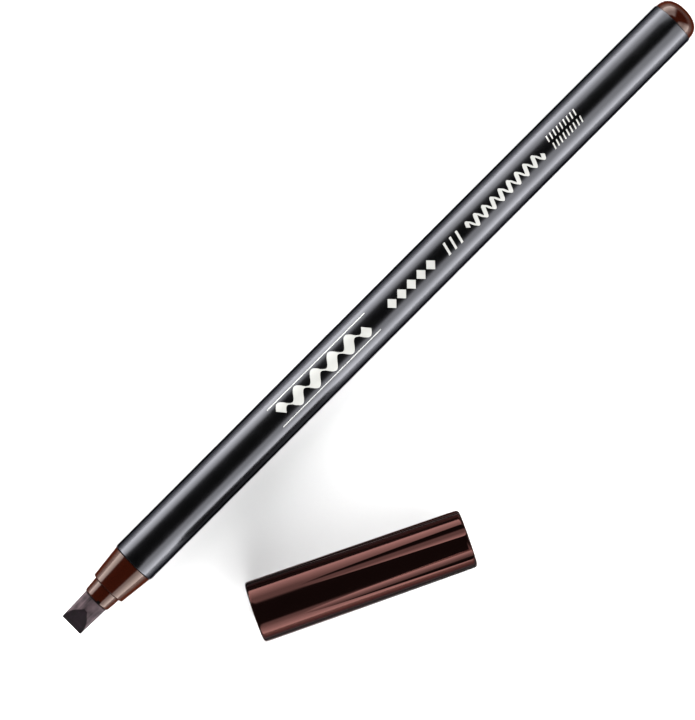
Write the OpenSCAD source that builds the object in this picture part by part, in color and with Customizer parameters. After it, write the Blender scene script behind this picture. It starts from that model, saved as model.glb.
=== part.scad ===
// Calligraphy marker with a fibre chisel nib, its cap pulled off and lying beside it.
// The pen lies along X with the nib toward +X, Z is up, and the origin is on the
// pen's axis at the middle of the barrel. The cap lies on the same table at +Y.

/* [Barrel] */
// Outside diameter of the barrel tube
barrel_d = 9.5; // [8:0.1:12]
// Length of the barrel tube
barrel_l = 149.6; // [120:0.1:170]
// Wall thickness of the barrel tube
barrel_wall = 0.8; // [0.6:0.05:1.2]
// Rounding of the barrel's two outer rims
barrel_rim = 0.2; // [0.05:0.05:0.4]

/* [Front section] */
// Cone diameter where it leaves the barrel
cone_rear_d = 9.1; // [8:0.05:9.4]
// Cone diameter at its front shoulder
cone_front_d = 7.6; // [6.5:0.05:8.5]
// Length of the cone
cone_l = 7.1; // [5:0.1:12]
// Nose diameter at the shoulder
nose_rear_d = 6.35; // [5.8:0.05:7]
// Nose diameter at the nib's exit
nose_front_d = 5.95; // [5.6:0.05:6.5]
// Length of the nose
nose_l = 3.2; // [2:0.05:6]
// Rounding of the nose's front rim, along the pen
nose_rim = 0.45; // [0.1:0.05:0.8]
// Width of the air vents in the nose's rim
vent_w = 0.8; // [0.3:0.05:1]
// Length of the air vents in the nose's rim
vent_l = 0.5; // [0.4:0.05:2]
// Turn of the air vents about the pen's axis, from the top
vent_turn = 13; // [0:1:45]
// Width of the seams at the nose's root and at the barrel
seam_w = 0.15; // [0.05:0.05:0.3]
// Depth of the seams at the nose's root and at the barrel
seam_deep = 0.15; // [0.05:0.05:0.2]
// Length of the section's spigot inside the barrel
spigot_l = 10; // [6:0.5:15]

/* [Nib] */
// Diameter of the fibre rod
nib_d = 5.4; // [2.4:0.1:6]
// Width of the writing edge, which is the stroke's width
nib_tip_d = 5; // [2:0.5:5.5]
// Whole length of the fibre rod
nib_l = 33; // [25:0.5:40]
// Length of rod that shows in front of the nose
nib_out = 7; // [4:0.05:9]
// Length of the chisel's bevels
bevel_l = 4.3; // [2:0.1:6]
// Thickness of the chisel's writing edge
edge_t = 0.3; // [0.1:0.05:0.6]
// Length of the rod's pointed rear end
point_l = 4; // [2:0.5:6]

/* [Ink reservoir] */
// Diameter over the reservoir's film
film_d = 7.4; // [6:0.1:7.8]
// Thickness of the film
film_t = 0.1; // [0.05:0.05:0.3]
// Length of the reservoir
core_l = 129; // [100:1:140]

/* [End plug] */
// Diameter of the plug's dome at the barrel
dome_d = 9.1; // [8:0.05:9.5]
// Height of the dome
dome_h = 3.5; // [1:0.1:6]
// Squareness of the dome's curve, 2 is an ellipse
dome_power = 2.4; // [2:0.05:4]
// Length of the plug's spigot
plug_l = 8; // [4:0.5:12]
// Wall of the plug's hollow spigot
plug_wall = 0.9; // [0.6:0.1:1.5]

/* [Cap] */
// Length of the cap
cap_l = 44.5; // [38:0.1:55]
// Cap diameter at its mouth
cap_mouth_d = 12.36; // [11:0.02:14]
// Cap diameter at its closed end
cap_end_d = 11.84; // [10:0.02:14]
// Rounding of the mouth's outer lip
lip_r = 0.55; // [0.2:0.05:1]
// Rounding of the closed end's corner
end_r = 0.8; // [0.2:0.05:2]
// Height of the closed end's shallow dome
end_bow = 0.12; // [0:0.02:0.5]
// Radial gap between the cap's bore and the barrel
cap_gap = 0.08; // [0.02:0.01:0.1]
// Radial gap at the gripping bead inside the mouth
bead_gap = 0.02; // [0.01:0.01:0.05]
// Length of barrel that the cap covers
cover_l = 24.2; // [15:0.1:30]
// Thickness of the closed end
end_wall = 1.5; // [1:0.1:3]

/* [Cap flutes] */
// Number of flutes around the cap
flute_n = 7; // [0:1:12]
// Radius of a flute's round section
flute_r = 3; // [1:0.1:6]
// Depth of a flute at the closed end
flute_depth = 0.4; // [0.1:0.05:0.8]
// Distance from the mouth to where the flutes begin
flute_start = 9.5; // [5:0.5:35]
// Turn of the flutes about the cap's axis, from the top
flute_turn = 29.4; // [0:0.1:60]

/* [Cap liner] */
// Inside diameter of the sealing cup
liner_in_d = 6.4; // [6:0.05:7]
// Outside diameter of the sealing cup
liner_out_d = 7.6; // [6.8:0.05:8]
// Thickness of the liner's base
liner_base = 1; // [0.6:0.1:2]

/* [Where the cap lies] */
// Distance of the cap's mouth centre along the pen from the origin
cap_x = 64.9; // [0:0.1:90]
// Distance of the cap's mouth centre to the side of the pen
cap_y = 23.65; // [14:0.05:60]
// Angle between the cap and the pen on the table
cap_angle = 25.86; // [0:0.01:90]

/* [Hidden] */
$fn = 96;

barrel_r = barrel_d / 2;
bore_r = barrel_r - barrel_wall;
front_x = barrel_l / 2;
shoulder_x = front_x + cone_l;
nose_x = shoulder_x + nose_l;
tip_x = nose_x + nib_out;
nib_r = nib_d / 2;
nose_r = nose_front_d / 2;
film_r = film_d / 2;
spigot_r = bore_r - 0.1;
chamber_r = 3.1;
land_w = 0.8;
cut = 20;

// Cap, measured along its own axis from the mouth
mouth_r = cap_mouth_d / 2;
end_d_r = cap_end_d / 2;
lean = asin((mouth_r - end_d_r) / cap_l);
seat_r = cone_rear_d / 2 + 0.06;
shoulder_s = cover_l + cone_l;
floor_s = cap_l - end_wall;
// The flute cutters begin a little past where they would first touch the cap
flute_lead = 0.8;

// Points on an arc about a centre, from angle a0 to angle a1
function arc(c, r, a0, a1, n = 8) =
    [for (i = [0:n]) let (a = a0 + (a1 - a0) * i / n) c + r * [cos(a), sin(a)]];

// Outside radius of the cap at a distance from its mouth
function cap_r(s) = mouth_r + (end_d_r - mouth_r) * s / cap_l;

// Turns a profile of [radius, distance] points about the X axis
module lathe_x(points) {
    rotate([0, 90, 0]) rotate_extrude() polygon(points);
}

// Spigot profile from its root to its free end, with two raised sealing lands
function spigot(length, r_in, dir) = [
    [bore_r, 0], [bore_r, land_w], [spigot_r, land_w + 0.1],
    [spigot_r, length - land_w - 1], [bore_r, length - land_w - 0.9],
    [bore_r, length - 0.9], [spigot_r - 0.25, length], [r_in, length]
] * [[1, 0], [0, dir]];

module barrel() {
    color([0.03, 0.03, 0.035])
    lathe_x(concat(
        [[bore_r, front_x]], [[bore_r, -front_x]],
        arc([barrel_r - barrel_rim, -front_x + barrel_rim], barrel_rim, -90, 0, 4),
        arc([barrel_r - barrel_rim, front_x - barrel_rim], barrel_rim, 0, 90, 4)));
}

module front_section() {
    color([0.2, 0.07, 0.04])
    difference() {
        lathe_x(concat(
            [for (p = spigot(spigot_l, chamber_r, -1)) [p[0], p[1] + front_x]],
            [[chamber_r, front_x + 0.5], [nib_r, front_x + 1.1], [nib_r, nose_x]],
            [[nib_r + 0.05, nose_x], [nose_r - 0.07, nose_x - nose_rim * 0.4], [nose_r, nose_x - nose_rim]],
            [[nose_rear_d / 2, shoulder_x + seam_w], [nose_rear_d / 2 - seam_deep, shoulder_x + seam_w]],
            [[nose_rear_d / 2 - seam_deep, shoulder_x], [cone_front_d / 2 - 0.25, shoulder_x]],
            [[cone_front_d / 2 - 0.07, shoulder_x - 0.07], [cone_front_d / 2, shoulder_x - 0.25]],
            [[cone_rear_d / 2, front_x + seam_w], [cone_rear_d / 2 - seam_deep, front_x + seam_w]],
            [[cone_rear_d / 2 - seam_deep, front_x]]));
        for (a = [0:90:270]) rotate([a - vent_turn, 0, 0])
            translate([nose_x - vent_l, -vent_w / 2, nib_r - 0.3]) cube([cut, vent_w, 1]);
    }
}

module nib() {
    color([0.3, 0.22, 0.24])
    difference() {
        lathe_x([[0, tip_x - nib_l], [0.9, tip_x - nib_l], [nib_r, tip_x - nib_l + point_l],
                 [nib_r, nose_x], [nib_tip_d / 2, tip_x], [0, tip_x]]);
        for (side = [0, 180]) rotate([side, 0, 0])
            translate([tip_x, 0, edge_t / 2])
                rotate([0, atan2(nib_tip_d / 2 - edge_t / 2, bevel_l), 0])
                    translate([-cut / 2, -cut / 2, 0]) cube([cut, cut, cut / 2]);
    }
}

// Front end of the ink reservoir, pressed against the front section's spigot
core_x = front_x - spigot_l - 0.3;

module reservoir_core() {
    color([0.55, 0.42, 0.38])
    difference() {
        translate([core_x - core_l, 0, 0]) rotate([0, 90, 0])
            cylinder(h = core_l, r = film_r - film_t);
        translate([tip_x - nib_l + point_l - 0.02, 0, 0]) rotate([0, 90, 0])
            cylinder(h = cut, r = nib_r + 0.02);
        translate([tip_x - nib_l - 0.02, 0, 0]) rotate([0, 90, 0])
            cylinder(h = point_l, r1 = 0.92, r2 = nib_r + 0.02);
    }
}

module reservoir_film() {
    color([0.85, 0.85, 0.85])
    translate([core_x - core_l, 0, 0]) rotate([0, 90, 0]) difference() {
        cylinder(h = core_l, r = film_r);
        translate([0, 0, -1]) cylinder(h = core_l + 2, r = film_r - film_t);
    }
}

module end_plug() {
    dome_n = 28;
    color([0.2, 0.07, 0.04])
    lathe_x(concat(
        [[0, -front_x + 0.4], [bore_r - plug_wall, -front_x + 0.9]],
        [[bore_r - plug_wall, -front_x + plug_l]],
        [for (i = [len(spigot(plug_l, 0, 1)) - 2:-1:0]) let (p = spigot(plug_l, 0, 1)[i])
            [p[0], p[1] - front_x]],
        [for (i = [0:dome_n]) let (t = 90 * i / dome_n)
            [dome_d / 2 * pow(cos(t), 2 / dome_power),
             -front_x - dome_h * pow(sin(t), 2 / dome_power)]]));
}

// Puts a piece made along +Z, with X as its upper side, where the cap lies
module lay_cap() {
    translate([cap_x, cap_y, mouth_r * cos(lean) - barrel_r])
        rotate([0, 0, -cap_angle]) rotate([0, -90 - lean, 0]) children();
}

module cap_shell() {
    color([0.13, 0.05, 0.04])
    lay_cap() difference() {
        rotate_extrude() polygon(concat(
            [[barrel_r + 0.75, 0]],
            arc([mouth_r - lip_r, lip_r], lip_r, -90, 0, 6),
            arc([end_d_r - end_r, cap_l - end_bow - end_r], end_r, 0, 84, 8),
            [[(end_d_r - end_r) * 0.5, cap_l - end_bow * 0.25], [0, cap_l]],
            [[0, floor_s], [seat_r, floor_s], [seat_r, cover_l]],
            [[barrel_r + cap_gap, cover_l], [barrel_r + cap_gap, 2.6]],
            [[barrel_r + bead_gap, 2.4], [barrel_r + bead_gap, 1.4]],
            [[barrel_r + 0.35, 0.8]]));
        for (i = [0:flute_n - 1]) rotate([0, 0, flute_turn + i * 360 / flute_n])
            translate([cap_r(flute_start) + flute_r, 0, flute_start])
                rotate([0, -atan2(flute_depth, cap_l - flute_start) - lean, 0])
                    translate([0, 0, flute_lead]) cylinder(h = 2 * cut, r = flute_r);
    }
}

module cap_liner() {
    color([0.75, 0.75, 0.72])
    lay_cap() rotate_extrude() polygon([
        [0, floor_s], [seat_r, floor_s], [seat_r, floor_s - liner_base],
        [liner_out_d / 2, floor_s - liner_base - 0.4],
        [liner_out_d / 2, shoulder_s + 0.3], [liner_out_d / 2 - 0.2, shoulder_s + 0.05],
        [liner_in_d / 2 + 0.15, shoulder_s + 0.05], [liner_in_d / 2, shoulder_s + 0.3],
        [liner_in_d / 2, floor_s - liner_base], [0, floor_s - liner_base]
    ]);
}

barrel();
front_section();
nib();
reservoir_core();
reservoir_film();
end_plug();
cap_shell();
cap_liner();
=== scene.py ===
import math
import bpy, bmesh
from mathutils import Matrix, Vector


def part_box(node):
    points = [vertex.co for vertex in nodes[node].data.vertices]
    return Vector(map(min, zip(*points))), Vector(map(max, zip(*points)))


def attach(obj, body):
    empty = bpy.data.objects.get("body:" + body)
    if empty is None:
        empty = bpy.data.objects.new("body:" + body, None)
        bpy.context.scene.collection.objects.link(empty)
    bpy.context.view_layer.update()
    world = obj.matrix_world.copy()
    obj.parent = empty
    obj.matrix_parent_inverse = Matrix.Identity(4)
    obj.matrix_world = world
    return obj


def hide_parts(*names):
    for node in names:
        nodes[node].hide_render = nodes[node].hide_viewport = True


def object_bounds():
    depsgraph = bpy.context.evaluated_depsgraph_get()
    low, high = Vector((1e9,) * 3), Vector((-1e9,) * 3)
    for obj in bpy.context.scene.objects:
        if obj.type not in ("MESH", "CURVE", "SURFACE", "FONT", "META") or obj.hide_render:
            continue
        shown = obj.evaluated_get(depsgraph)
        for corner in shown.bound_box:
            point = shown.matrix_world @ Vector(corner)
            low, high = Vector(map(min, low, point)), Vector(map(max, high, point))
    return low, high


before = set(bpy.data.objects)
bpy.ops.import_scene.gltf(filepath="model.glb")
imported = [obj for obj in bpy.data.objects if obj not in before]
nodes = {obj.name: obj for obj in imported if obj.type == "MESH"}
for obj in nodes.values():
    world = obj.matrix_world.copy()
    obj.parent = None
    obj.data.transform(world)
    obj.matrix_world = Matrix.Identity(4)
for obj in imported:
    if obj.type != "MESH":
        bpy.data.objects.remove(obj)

MM = 0.001
cad_lo, cad_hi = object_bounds()
scene = bpy.context.scene

# ---------------------------------------------------------------- places
b_lo, b_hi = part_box("barrel")
n_lo, n_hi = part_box("nib")
R = (b_hi.z - b_lo.z) / 2              # barrel radius
TABLE = cad_lo.z                       # the table both pieces lie on
TIP = n_hi.x                           # the nib's writing edge

# ---------------------------------------------------------------- camera
# Straight down on the table, turned so that the pen climbs to the upper right.
AWAY = 0.70                            # height above the pen's axis
SENSOR = 36.0
FIELD = 141.18 * MM                    # the picture's longer side, at the pen's axis
AIM_X, AIM_Y = 17.03 * MM, 1.63 * MM   # the picture's middle, toward the nib and the cap's side
TURN = math.radians(134.94)            # from the pen's +X to the picture's right
cam_data = bpy.data.cameras.new("camera")
cam_data.type = "PERSP"
cam_data.sensor_width = SENSOR
cam_data.lens = SENSOR * AWAY / FIELD
cam_data.clip_start, cam_data.clip_end = 0.01, 10
cam = bpy.data.objects.new("camera", cam_data)
scene.collection.objects.link(cam)
cam.matrix_world = Matrix.Translation((AIM_X, AIM_Y, AWAY)) @ Matrix.Rotation(TURN, 4, "Z")
scene.camera = cam


# ---------------------------------------------------------------- materials
def new_material(name):
    m = bpy.data.materials.new(name)
    m.use_nodes = True
    nt = m.node_tree
    nt.nodes.clear()
    out = nt.nodes.new("ShaderNodeOutputMaterial")
    bsdf = nt.nodes.new("ShaderNodeBsdfPrincipled")
    nt.links.new(bsdf.outputs[0], out.inputs["Surface"])
    return m, nt, bsdf


def noise(nt, scale, detail=3.0, rough=0.5, stretch=None, offset=(0, 0, 0)):
    co = nt.nodes.new("ShaderNodeTexCoord")
    mp = nt.nodes.new("ShaderNodeMapping")
    mp.inputs["Scale"].default_value = stretch or (1, 1, 1)
    mp.inputs["Location"].default_value = offset
    n = nt.nodes.new("ShaderNodeTexNoise")
    n.inputs["Scale"].default_value = scale
    n.inputs["Detail"].default_value = detail
    n.inputs["Roughness"].default_value = rough
    nt.links.new(co.outputs["Object"], mp.inputs["Vector"])
    nt.links.new(mp.outputs[0], n.inputs["Vector"])
    return n.outputs["Fac"]


def ramp(nt, fac, stops):
    r = nt.nodes.new("ShaderNodeValToRGB")
    r.color_ramp.elements[0].position, r.color_ramp.elements[0].color = stops[0]
    r.color_ramp.elements[1].position, r.color_ramp.elements[1].color = stops[-1]
    for p, c in stops[1:-1]:
        e = r.color_ramp.elements.new(p)
        e.color = c
    nt.links.new(fac, r.inputs["Fac"])
    return r.outputs["Color"]


def remap(nt, fac, lo, hi, a=0.3, b=0.7):
    r = nt.nodes.new("ShaderNodeMapRange")
    r.inputs["From Min"].default_value = a
    r.inputs["From Max"].default_value = b
    r.inputs["To Min"].default_value = lo
    r.inputs["To Max"].default_value = hi
    nt.links.new(fac, r.inputs["Value"])
    return r.outputs["Result"]


def bump(nt, bsdf, height, strength, distance):
    b = nt.nodes.new("ShaderNodeBump")
    b.inputs["Strength"].default_value = strength
    b.inputs["Distance"].default_value = distance
    nt.links.new(height, b.inputs["Height"])
    nt.links.new(b.outputs[0], bsdf.inputs["Normal"])


def moulded(name, dark, light, rough_lo, rough_hi, ior=1.5, tint=(1, 1, 1), pearl=0.0):
    """Moulded plastic: slight colour and gloss drift, and a very fine surface grain.

    With pearl near 1 the reflection takes the plastic's own colour and darkens toward the edges.
    """
    m, nt, bsdf = new_material(name)
    drift = noise(nt, 90, 3, 0.55)
    nt.links.new(ramp(nt, drift, [(0.3, dark), (0.7, light)]), bsdf.inputs["Base Color"])
    gloss = remap(nt, noise(nt, 260, 4, 0.6, offset=(3, 1, 2)), rough_lo, rough_hi)
    nt.links.new(gloss, bsdf.inputs["Roughness"])
    bsdf.inputs["IOR"].default_value = ior
    bsdf.inputs["Metallic"].default_value = pearl
    bsdf.inputs["Specular Tint"].default_value = (*tint, 1)
    bump(nt, bsdf, noise(nt, 2600, 2, 0.5), 0.02, 0.02 * MM)
    return m


def glazed(name, dark, light, gloss_dark, gloss_light, tint):
    """Plastic under a clear gloss: a plain body colour mixed with a tinted reflection."""
    m = moulded(name, dark, light, 0.6, 0.7)
    nt = m.node_tree
    body = next(n for n in nt.nodes if n.type == "BSDF_PRINCIPLED")
    out = next(n for n in nt.nodes if n.type == "OUTPUT_MATERIAL")
    body.inputs["Specular IOR Level"].default_value = 0.0
    gloss = nt.nodes.new("ShaderNodeBsdfPrincipled")
    gloss.inputs["Metallic"].default_value = 1.0
    gloss.inputs["Specular Tint"].default_value = (*tint, 1)
    drift = noise(nt, 120, 3, 0.5, offset=(2, 7, 1))
    nt.links.new(ramp(nt, drift, [(0.3, gloss_dark), (0.7, gloss_light)]), gloss.inputs["Base Color"])
    polish = remap(nt, noise(nt, 260, 4, 0.6, offset=(3, 1, 2)), 0.10, 0.14)
    nt.links.new(polish, gloss.inputs["Roughness"])
    mix = nt.nodes.new("ShaderNodeMixShader")
    mix.inputs[0].default_value = 0.5
    nt.links.new(body.outputs[0], mix.inputs[1])
    nt.links.new(gloss.outputs[0], mix.inputs[2])
    nt.links.new(mix.outputs[0], out.inputs["Surface"])
    return m


barrel_mat = moulded("barrel_satin_black", (0.0300, 0.0304, 0.0332, 1), (0.0348, 0.0352, 0.0384, 1),
                     0.19, 0.23, tint=(0.31, 0.31, 0.32), pearl=1.0)
cap_mat = moulded("cap_brown", (0.0158, 0.0063, 0.0055, 1), (0.0184, 0.0074, 0.0064, 1),
                  0.07, 0.10, tint=(0.37, 0.26, 0.24), pearl=0.9)
trim_mat = glazed("trim_brown", (0.0240, 0.0031, 0.0009, 1), (0.0288, 0.0040, 0.0013, 1),
                  (0.049, 0.041, 0.036, 1), (0.056, 0.046, 0.042, 1), tint=(0.38, 0.30, 0.28))
liner_mat = moulded("liner_natural", (0.55, 0.52, 0.46, 1), (0.62, 0.59, 0.53, 1), 0.45, 0.55)
film_mat = moulded("reservoir_film_clear", (0.6, 0.6, 0.6, 1), (0.65, 0.65, 0.65, 1), 0.2, 0.3)
# Near black: ink on the fibres inside the nose, and painted shade in the air vents and the two seams
ink_and_shade_mat = moulded("ink_and_painted_shade", (0.0006, 0.0004, 0.0005, 1), (0.0015, 0.001, 0.0012, 1),
                  0.5, 0.6, ior=1.1)
print_mat = moulded("print_white", (0.29, 0.29, 0.277, 1), (0.335, 0.335, 0.318, 1), 0.45, 0.55)


def fibre(name, dark, light):
    """Bonded fibres along the rod, soaked with ink."""
    m, nt, bsdf = new_material(name)
    f = noise(nt, 1500, 4, 0.65, stretch=(0.05, 1, 1))
    g = noise(nt, 500, 3, 0.5, offset=(1, 5, 2))
    mix = nt.nodes.new("ShaderNodeMath")
    mix.operation = "MULTIPLY_ADD"
    nt.links.new(g, mix.inputs[0])
    mix.inputs[1].default_value = 0.45
    half = nt.nodes.new("ShaderNodeMath")
    half.operation = "MULTIPLY"
    half.inputs[1].default_value = 0.6
    nt.links.new(f, half.inputs[0])
    nt.links.new(half.outputs[0], mix.inputs[2])
    nt.links.new(ramp(nt, mix.outputs[0], [(0.38, dark), (0.66, light)]), bsdf.inputs["Base Color"])
    bsdf.inputs["Roughness"].default_value = 0.75
    bsdf.inputs["Specular IOR Level"].default_value = 0.1
    bump(nt, bsdf, f, 0.6, 0.08 * MM)
    return m


nib_mat = fibre("nib_fibre", (0.0064, 0.0042, 0.0050, 1), (0.056, 0.038, 0.043, 1))
bevel_mat = fibre("nib_bevel", (0.0010, 0.0002, 0.0006, 1), (0.0052, 0.0018, 0.0038, 1))
core_mat = fibre("reservoir_fibre", (0.10, 0.04, 0.02, 1), (0.25, 0.12, 0.07, 1))

for node, mat in {
    "barrel": barrel_mat, "front_section": trim_mat, "end_plug": trim_mat, "nib": nib_mat,
    "cap_shell": cap_mat, "cap_liner": liner_mat, "reservoir_core": core_mat,
    "reservoir_film": film_mat,
}.items():
    nodes[node].data.materials.clear()
    nodes[node].data.materials.append(mat)


# ---------------------------------------------------------------- mesh tools
def obj_from_rings(name, rings, closed_ends=True, mats=(), face_mat=None):
    """A skin over rings of points, each ring closed, with optional flat ends."""
    bm = bmesh.new()
    rows = [[bm.verts.new(p) for p in ring] for ring in rings]
    n = len(rings[0])
    for i in range(len(rows) - 1):
        for j in range(n):
            k = (j + 1) % n
            f = bm.faces.new((rows[i][j], rows[i][k], rows[i + 1][k], rows[i + 1][j]))
            f.smooth = True
            if face_mat:
                f.material_index = face_mat(i, j)
    if closed_ends:
        bm.faces.new(list(reversed(rows[0])))
        bm.faces.new(rows[-1])
    bmesh.ops.remove_doubles(bm, verts=bm.verts, dist=2e-7)
    bmesh.ops.dissolve_degenerate(bm, edges=bm.edges, dist=1e-7)
    bmesh.ops.delete(bm, geom=[e for e in bm.edges if not e.link_faces], context="EDGES")
    bmesh.ops.recalc_face_normals(bm, faces=bm.faces)
    mesh = bpy.data.meshes.new(name)
    bm.to_mesh(mesh)
    bm.free()
    for m in mats:
        mesh.materials.append(m)
    o = bpy.data.objects.new(name, mesh)
    scene.collection.objects.link(o)
    return o


def sharpen(o, degrees=28):
    """Creases stay crisp, everything flatter is shaded smooth."""
    bm = bmesh.new()
    bm.from_mesh(o.data)
    for e in bm.edges:
        e.smooth = not (len(e.link_faces) == 2 and e.calc_face_angle(0) > math.radians(degrees))
    bm.to_mesh(o.data)
    bm.free()


# ---------------------------------------------------------------- round pieces, in millimetres
def arc(cx, cy, r, a0, a1, n):
    """Points on an arc of n steps, from angle a0 to angle a1 in degrees."""
    return [(cx + r * math.cos(math.radians(a0 + (a1 - a0) * i / n)),
             cy + r * math.sin(math.radians(a0 + (a1 - a0) * i / n))) for i in range(n + 1)]


def steps(p, q, n):
    """The points between p and q that divide the line into n steps."""
    return [(p[0] + (q[0] - p[0]) * i / n, p[1] + (q[1] - p[1]) * i / n) for i in range(1, n)]


def around(x, r, angles):
    """A ring about the pen's axis. Angles run from the top toward +Y."""
    return [Vector((x * MM, r * math.sin(a) * MM, r * math.cos(a) * MM)) for a in angles]


ALL_ROUND = [2 * math.pi * i / 192 for i in range(192)]
HALF = b_hi.x / MM                     # half the barrel's length
RB, BORE, RIM_B = R / MM, 3.95, 0.2    # the barrel's radius, its bore's, and its rims' rounding

# ---------------------------------------------------------------- barrel
# Its object also holds the generic marks of its white print
front = [(HALF, BORE), (HALF, RB - 0.3)] + arc(HALF - RIM_B, RB - RIM_B, RIM_B, 0, 90, 6)
outer = front + steps(front[-1], (RIM_B - HALF, RB), 60) + [(-x, r) for x, r in reversed(front)]
rings = [around(x, r, ALL_ROUND) for x, r in outer]
barrel = obj_from_rings("barrel_printed", rings + [rings[0]], closed_ends=False,
                        mats=(barrel_mat, print_mat))
sharpen(barrel, 35)

# ---------------------------------------------------------------- print
# The print stands this far above the barrel, and reaches this far into it
PRINT_UP, PRINT_IN = 0.012, 0.03


def on_barrel(s, t, lift):
    """A point of the print, s mm behind the barrel's front end and t mm to the cap's side."""
    return around(HALF - s, RB + lift, [math.asin(t / RB)])[0]


def mark(bm, grid):
    """A thin closed patch of print over a grid of (s, t) points."""
    layers = []
    for lift in (PRINT_UP, -PRINT_IN):
        layers.append([[bm.verts.new(on_barrel(s, t, lift)) for s, t in row] for row in grid])
    top, low = layers
    n, m = len(grid), len(grid[0])
    faces = []
    for i in range(n - 1):
        for j in range(m - 1):
            faces.append((top[i][j], top[i + 1][j], top[i + 1][j + 1], top[i][j + 1]))
            faces.append((low[i][j], low[i][j + 1], low[i + 1][j + 1], low[i + 1][j]))
    for i in range(n - 1):
        faces.append((top[i][0], low[i][0], low[i + 1][0], top[i + 1][0]))
        faces.append((top[i][-1], top[i + 1][-1], low[i + 1][-1], low[i][-1]))
    for j in range(m - 1):
        faces.append((top[0][j], top[0][j + 1], low[0][j + 1], low[0][j]))
        faces.append((top[-1][j], low[-1][j], low[-1][j + 1], top[-1][j + 1]))
    for f in faces:
        bm.faces.new(f).material_index = 1


def stroke(bm, path, nib_w, nib_deg, thin, across):
    """What a broad edge of width nib_w held at a fixed angle leaves along a path."""
    u = (math.cos(math.radians(nib_deg)), math.sin(math.radians(nib_deg)))
    grid = []
    for i, (s, t) in enumerate(path):
        p, q = path[max(0, i - 1)], path[min(len(path) - 1, i + 1)]
        d = math.hypot(q[0] - p[0], q[1] - p[1])
        nx, ny = -(q[1] - p[1]) / d, (q[0] - p[0]) / d
        side = 1 if nx * u[0] + ny * u[1] >= 0 else -1
        w = (side * u[0] * nib_w / 2 + nx * thin / 2, side * u[1] * nib_w / 2 + ny * thin / 2)
        grid.append([(s + w[0] * k, t + w[1] * k)
                     for k in [-1 + 2 * j / across for j in range(across + 1)]])
    mark(bm, grid)


def box_mark(bm, s, t, w, h, slant=0.0, n=8):
    """A bar, w along the pen and h across it, which may lean."""
    mark(bm, [[(s + w * (i / 2 - 0.5) - slant * (j / n - 0.5) * h, t + h * (j / n - 0.5))
               for j in range(n + 1)] for i in range(3)])


def wave(s0, s1, n, amp, mid):
    """A sine path of n waves."""
    k = 26 * n
    return [(s0 + (s1 - s0) * i / k, mid - amp * math.sin(2 * math.pi * i / 26)) for i in range(k + 1)]


bm = bmesh.new()
bm.from_mesh(barrel.data)
# A bold broad-edge flourish, between two hairlines
stroke(bm, wave(41.48, 64.81, 5, 0.98, -0.29), 1.86, 52, 0.2, 10)
for t in (-2.51, 2.0):
    box_mark(bm, 53.15, t, 26.86, 0.18, n=2)
# A row of diamonds, then leaning bars
DIAMOND_L, DIAMOND_W = 1.18, 1.22      # half a diamond, along and across the pen
part = [k / 6 for k in range(7)]
for i in range(5):
    s = 71.68 + 2.667 * i
    mark(bm, [[(s + DIAMOND_L * (a - b), DIAMOND_W * (a + b - 1)) for b in part] for a in part])
for i in range(3):
    box_mark(bm, 86.78 + 1.667 * i, 0.06, 0.51, 2.55, slant=0.25)
# A lighter run of narrow waves
stroke(bm, wave(92.66, 113.05, 9, 0.9, 0.08), 0.67, 50, 0.22, 5)
# Two rows of short ticks
for row in (-1.18, 0.69):
    for i in range(9):
        box_mark(bm, 115.79 + 0.922 * i, row, 0.31, 1.29, slant=0.3, n=5)
bm.to_mesh(barrel.data)
bm.free()
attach(barrel, "pen")
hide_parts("barrel")


def spigot(length, d):
    """Outside of a spigot from root to free end, in direction d, with two sealing lands."""
    neck = BORE - 0.1
    return [(d * s, r) for s, r in [(0, BORE), (0.8, BORE), (0.9, neck), (length - 1.8, neck),
                                    (length - 1.7, BORE), (length - 0.9, BORE), (length, BORE - 0.35)]]


# ---------------------------------------------------------------- front section
# In order: spigot, bore, nose with its air vents, seam, cone, seam
CONE_R0, CONE_R1, CONE_L = 4.55, 3.8, 7.1
NOSE_R0, NOSE_R1, NOSE_L, RIM = 3.175, 2.975, 3.2, 0.45
SPIGOT_L, CHAMBER, EXIT = 10, 3.1, 2.7
RIM_IN, VENT_FLOOR = EXIT + 0.06, EXIT + 0.01
SEAM, VENT_W, VENT_L, VENT_TURN = 0.15, 0.8, 0.5, 13.0
SHOULDER, NOSE = HALF + CONE_L, HALF + CONE_L + NOSE_L
vent_half = VENT_W / 2 / NOSE_R1
vents = [math.radians(VENT_TURN + 90 * k) for k in range(4)]
vent_sides = (-vent_half - 0.004, -vent_half, vent_half, vent_half + 0.004)
section_angles = sorted(ALL_ROUND + [v + e for v in vents for e in vent_sides])


def in_vent(a):
    """True where a ring's point lies in one of the air vents."""
    return any(abs(a - v) <= vent_half + 1e-4 for v in vents)


inside = [(HALF + x, r) for x, r in spigot(SPIGOT_L, -1)]
inside += [(HALF - SPIGOT_L, CHAMBER), (HALF + 0.5, CHAMBER), (HALF + 1.1, EXIT), (NOSE, EXIT)]
rim = [(NOSE - RIM * (1 - math.cos(t)), RIM_IN + (NOSE_R1 - RIM_IN) * math.sin(t))
       for t in [math.pi / 16 * i for i in range(9)]]
nose = [(NOSE - VENT_L + 0.001, NOSE_R1 + 0.003)]
body = [(NOSE - VENT_L, NOSE_R1 + 0.003)]
body += steps(body[0], (SHOULDER + SEAM, NOSE_R0), 8)
body += [(SHOULDER + SEAM, NOSE_R0), (SHOULDER + SEAM, NOSE_R0 - SEAM), (SHOULDER, NOSE_R0 - SEAM)]
body += [(SHOULDER, CONE_R1 - 0.26)] + arc(SHOULDER - 0.22, CONE_R1 - 0.2, 0.22, 0, 86, 6)
body += steps((SHOULDER - 0.25, CONE_R1), (HALF + SEAM, CONE_R0), 20)
body += [(HALF + SEAM, CONE_R0), (HALF + SEAM, CONE_R0 - SEAM), (HALF, CONE_R0 - SEAM)]
cut_rows = range(len(inside), len(inside) + len(rim) + len(nose))
rows = inside + rim + nose + body
rings = [around(x, r, section_angles) for x, r in rows]
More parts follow.
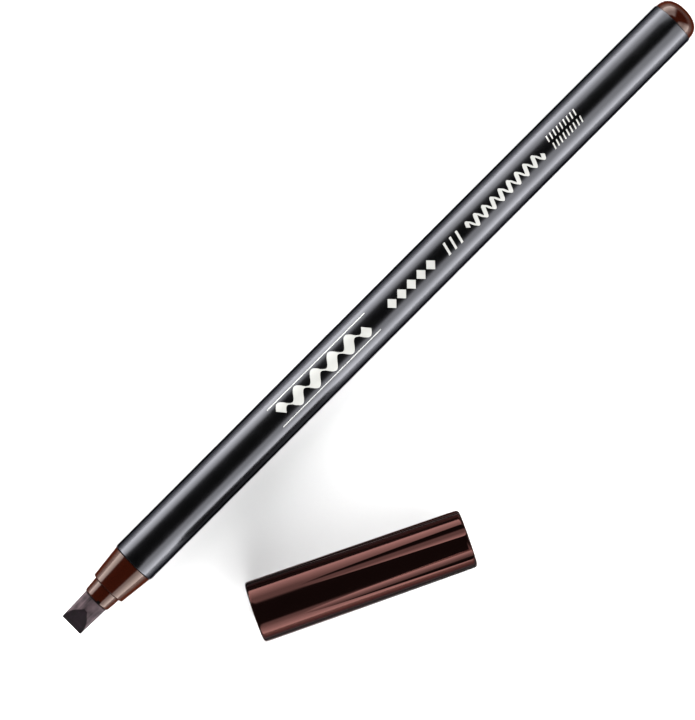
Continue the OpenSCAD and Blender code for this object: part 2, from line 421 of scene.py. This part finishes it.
for i in cut_rows:
    x = rows[i][0]
    rings[i] = [around(x, VENT_FLOOR if in_vent(a) else rows[i][1], [a])[0] for a in section_angles]
seam_tops = ((SHOULDER + SEAM, NOSE_R0), (HALF + SEAM, CONE_R0))
seam_rows = [len(rows) - len(body) + body.index(p) + k for p in seam_tops for k in (0, 1)]


def section_face(i, j):
    """1 for the insides of the vents and of the two seams, painted near black as their shade."""
    both = (section_angles[j], section_angles[(j + 1) % len(section_angles)])
    vent = (i in cut_rows or i + 1 in cut_rows) and any(in_vent(a) for a in both)
    return 1 if vent or i in seam_rows else 0


section = obj_from_rings("front_section_lathed", rings + [rings[0]], closed_ends=False,
                         mats=(trim_mat, ink_and_shade_mat), face_mat=section_face)
sharpen(section, 32)
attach(section, "pen")
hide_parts("front_section")

# ---------------------------------------------------------------- end plug
# Its dome is a squared one
DOME_R, DOME_H, DOME_P = 4.55, 3.5, 2.4
PLUG_L, PLUG_IN = 8, BORE - 0.9
dome = [(-HALF - DOME_H * math.sin(t) ** (2 / DOME_P), DOME_R * math.cos(t) ** (2 / DOME_P))
        for t in [math.pi / 2 * i / 48 for i in range(48)]] + [(-HALF - DOME_H, 0)]
plug_rows = [(-HALF + 0.4, 0), (-HALF + 0.9, PLUG_IN), (-HALF + PLUG_L, PLUG_IN)]
plug_rows += [(-HALF + x, r) for x, r in reversed(spigot(PLUG_L, 1))] + dome
rings = [around(x, r, ALL_ROUND) for x, r in plug_rows]
plug = obj_from_rings("end_plug_domed", rings, closed_ends=False, mats=(trim_mat,))
sharpen(plug, 35)
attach(plug, "pen")
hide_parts("end_plug")

# ---------------------------------------------------------------- nib
NIB_R, NIB_TIP_R, NIB_L, NIB_OUT, POINT_R, POINT_L = 2.7, 2.5, 33.0, 7.0, 0.9, 4
# The bevel runs flat to CREST0 and rounds over by CREST1
EDGE, SLOPE, CREST0, CREST1 = 0.3, 0.64, 3.2, 4.4
N_FLAT, N_ARC = 14, 40


def bevel_z(s):
    """Height of the bevel above the rod's axis, s mm behind the writing edge."""
    if s < CREST0:
        return EDGE / 2 + SLOPE * s
    u = min(s, CREST1) - CREST0
    return EDGE / 2 + SLOPE * CREST0 + SLOPE * u - SLOPE * u * u / (2 * (CREST1 - CREST0))


def nib_ring(s):
    """Section of the fibre rod at s mm behind its writing edge."""
    if s < NIB_OUT:
        r = NIB_TIP_R + (NIB_R - NIB_TIP_R) * s / NIB_OUT
    elif s < NIB_L - POINT_L:
        r = NIB_R
    else:
        r = NIB_R + (POINT_R - NIB_R) * (s - NIB_L + POINT_L) / POINT_L
    zc = min(r, bevel_z(s)) if s < CREST1 else r
    worn = 0.04 * max(0.0, 1 - s / 0.25) ** 2          # corners of the edge, worn by the paper
    a = math.asin(min(1.0, zc / r))
    w = math.sqrt(max(0.0, r * r - zc * zc))
    pts = []

    def groove(ang):
        """Fine lengthwise ribs on the fibres that show."""
        g = math.sin(37 * ang + 0.7) + 0.7 * math.sin(61 * ang + 2.1) + 0.5 * math.sin(97 * ang + 4.0)
        return 1 + (0.0022 * g if s < NIB_OUT + 0.5 else 0)

    for side, start in ((1, 0), (-1, math.pi)):        # a bevel, then the round side after it
        for i in range(N_FLAT):
            pts.append((side * (-w + 2 * w * i / N_FLAT), side * zc))
        for i in range(N_ARC):
            t = start + a - 2 * a * i / N_ARC
            pts.append((r * math.cos(t) * groove(t), r * math.sin(t) * groove(t)))
    return [Vector((TIP - s * MM, y * (1 - worn) * MM, z * MM)) for y, z in pts]


# Rings stand close at the worn edge, along the bevel and at the nose
nib_s = [0, 0.04, 0.1, 0.2, 0.35] + [round(0.6 + 0.2 * i, 3) for i in range(19)]
nib_s += [4.3, 4.38, 4.4, 4.7, 5.2, 6, 6.78, 7.0, 7.4, 12, 20, 29, 33]
nib_s = sorted(set(nib_s))


def nib_face(i, j):
    """2 for the fibres inside the nose, dark with ink and with painted shade so the vents and the
    joint show black; 1 for the bevels and 0 for the rest.
    """
    if nib_s[i] > 6.7:
        return 2
    flat = j < N_FLAT or N_FLAT + N_ARC <= j < 2 * N_FLAT + N_ARC
    return 1 if flat and nib_s[i] < 4.25 else 0


nib = obj_from_rings("fibre_nib", [nib_ring(s) for s in nib_s], mats=(nib_mat, bevel_mat, ink_and_shade_mat),
                     face_mat=nib_face)
sharpen(nib, 22)
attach(nib, "pen")
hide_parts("nib")

# ---------------------------------------------------------------- cap
CAP_L, MOUTH_R, END_R = 44.5, 6.18, 5.92
CAP_X, CAP_Y, CAP_ANGLE = 64.9, 23.65, 25.86           # where its mouth lies, and how it is turned
LIP, CORNER, BOW = 0.55, 0.8, 0.12
FLUTES, FL_R, FL_DEPTH, FL_START, FL_TURN = 7, 3.0, 0.4, 9.5, 29.4
# Length of barrel it covers, radius and depth of the liner's seat, gaps at the barrel and the bead
COVER, SEAT_R, FLOOR_S, CAP_GAP, BEAD_GAP = 24.2, 4.61, 43.0, 0.08, 0.02
lean = math.asin((MOUTH_R - END_R) / CAP_L)
fl_tilt = math.atan2(FL_DEPTH, CAP_L - FL_START) + lean
cap_m = (Matrix.Translation((CAP_X * MM, CAP_Y * MM, (MOUTH_R * math.cos(lean)) * MM - R))
         @ Matrix.Rotation(math.radians(-CAP_ANGLE), 4, "Z")
         @ Matrix.Rotation(-math.pi / 2 - lean, 4, "Y"))

lip = arc(MOUTH_R - LIP, LIP, LIP, -90, 0, 8)
corner = arc(END_R - CORNER, CAP_L - BOW - CORNER, CORNER, 0, 84, 14)
outer = ([(5.5, 0.0)] + lip + steps(lip[-1], corner[0], 90) + corner
         + [((END_R - CORNER) * 0.5, CAP_L - BOW * 0.25), (0, CAP_L)])
inner = [(0, FLOOR_S), (SEAT_R, FLOOR_S), (SEAT_R, COVER), (RB + CAP_GAP, COVER), (RB + CAP_GAP, 2.6),
         (RB + BEAD_GAP, 2.4), (RB + BEAD_GAP, 1.4), (RB + 0.35, 0.8)]
# Where the grid's lines run across a flute, and across the round ridge beside it
OFFS_F = [-1, -0.985, -0.94, -0.85, -0.7, -0.5, -0.25, 0, 0.25, 0.5, 0.7, 0.85, 0.94, 0.985]
OFFS_R = [0, 0.012, 0.05] + [0.12 + 0.76 * i / 15 for i in range(16)] + [0.95, 0.988]


def cap_cone(s):
    """Outside radius of the cap at s mm from its mouth."""
    return MOUTH_R + (END_R - MOUTH_R) * s / CAP_L


def cap_ring(r, s, fluted):
    """Section of the cap at s mm from its mouth. The flutes' edges run along the grid."""
    # Distance from the cap's axis to the middle of a flute's circle
    away = cap_cone(FL_START) + FL_R - (s - FL_START) * math.tan(fl_tilt)
    edge = math.radians(0.25)
    if fluted and s > FL_START and r > 0.5:
        c = (r * r + away * away - FL_R * FL_R) / (2 * r * away)
        if c < 1:
            edge = max(edge, math.acos(c))
    pts = []
    for k in range(FLUTES):
        mid = math.radians(FL_TURN) + k * 2 * math.pi / FLUTES
        for f in OFFS_F:
            psi = f * edge
            rr = r
            q = FL_R ** 2 - (away * math.sin(psi)) ** 2
            if fluted and s > FL_START and q > 0:
                rr = min(r, away * math.cos(psi) - math.sqrt(q))
            pts.append((mid + psi, rr))
        span = 2 * math.pi / FLUTES - 2 * edge
        for f in OFFS_R:
            pts.append((mid + edge + f * span, r))
    return [cap_m @ Vector((rr * math.cos(a) * MM, rr * math.sin(a) * MM, s * MM)) for a, rr in pts]


cap_rings = [cap_ring(r, s, True) for r, s in outer] + [cap_ring(r, s, False) for r, s in inner]
cap_rings.append(cap_rings[0])
cap = obj_from_rings("cap_fluted", cap_rings, closed_ends=False, mats=(cap_mat,))
sharpen(cap, 35)
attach(cap, "cap")
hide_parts("cap_shell")

# ---------------------------------------------------------------- stage
bpy.ops.mesh.primitive_plane_add(size=6, location=(0, 0, TABLE))
floor = bpy.context.object
floor.name = "floor"
floor_mat, _, floor_bsdf = new_material("floor_pale")
floor_bsdf.inputs["Base Color"].default_value = (0.94, 0.94, 0.94, 1)
floor_bsdf.inputs["Roughness"].default_value = 0.3
floor_bsdf.inputs["Specular IOR Level"].default_value = 0.5
floor.data.materials.append(floor_mat)

# Two long soft lamps, one on each side, brightest near the table and dark overhead, so that round
# pieces show two long bright bands with a dark one between them, and dark ends.
LAMP = 12.0
LAMP_WAY = (0.225, 0.974, 0)           # the lamps lie along this line, on both sides
TOP_WAY = (0.53, -0.13, 1)             # the middle of the dark top
world = bpy.data.worlds.new("studio")
world.use_nodes = True
sky_tree = world.node_tree
sky = sky_tree.nodes["Background"]
sky.inputs["Color"].default_value = (1, 1, 1, 1)
coords = sky_tree.nodes.new("ShaderNodeTexCoord")


def vec(op, a, b=None):
    """A vector sum on the sky, of a and a fixed b."""
    v = sky_tree.nodes.new("ShaderNodeVectorMath")
    v.operation = op
    sky_tree.links.new(a, v.inputs[0])
    if b:
        v.inputs[1].default_value = b
    return v.outputs["Value" if op == "DOT_PRODUCT" else "Vector"]


def num(op, a, b=None):
    """A plain sum on the sky."""
    v = sky_tree.nodes.new("ShaderNodeMath")
    v.operation = op
    for k, x in enumerate((a, b)):
        if isinstance(x, (int, float)):
            v.inputs[k].default_value = x
        elif x is not None:
            sky_tree.links.new(x, v.inputs[k])
    return v.outputs[0]


def soft(a, x0, x1, y0, y1, how="SMOOTHSTEP"):
    """Goes from y0 to y1 while a goes from x0 to x1."""
    v = sky_tree.nodes.new("ShaderNodeMapRange")
    v.interpolation_type = how
    for key, x in (("From Min", x0), ("From Max", x1), ("To Min", y0), ("To Max", y1)):
        v.inputs[key].default_value = x
    sky_tree.links.new(a, v.inputs["Value"])
    return v.outputs["Result"]


way = coords.outputs["Generated"]
height = vec("DOT_PRODUCT", way, (0, 0, 1))
below_top = soft(vec("DOT_PRODUCT", way, TOP_WAY), 0.73, 0.83, 1, 0)
level = vec("NORMALIZE", vec("MULTIPLY", way, (1, 1, 0)))
sideways = num("ABSOLUTE", vec("DOT_PRODUCT", level, LAMP_WAY))
lobe = soft(sideways, 0.5, 0.85, 0, 1)
fall = soft(height, 0, 0.6, 1.6, 0.45, "LINEAR")
rest = soft(height, 0.10, 0.25, 1.0, 0.06)             # pale at the horizon, dark above
lamps = num("MULTIPLY", num("MULTIPLY", num("MULTIPLY", below_top, lobe), fall), LAMP)
glow = num("ADD", lamps, rest)
sky_tree.links.new(glow, sky.inputs["Strength"])
scene.world = world
scene.view_settings.view_transform = "Standard"
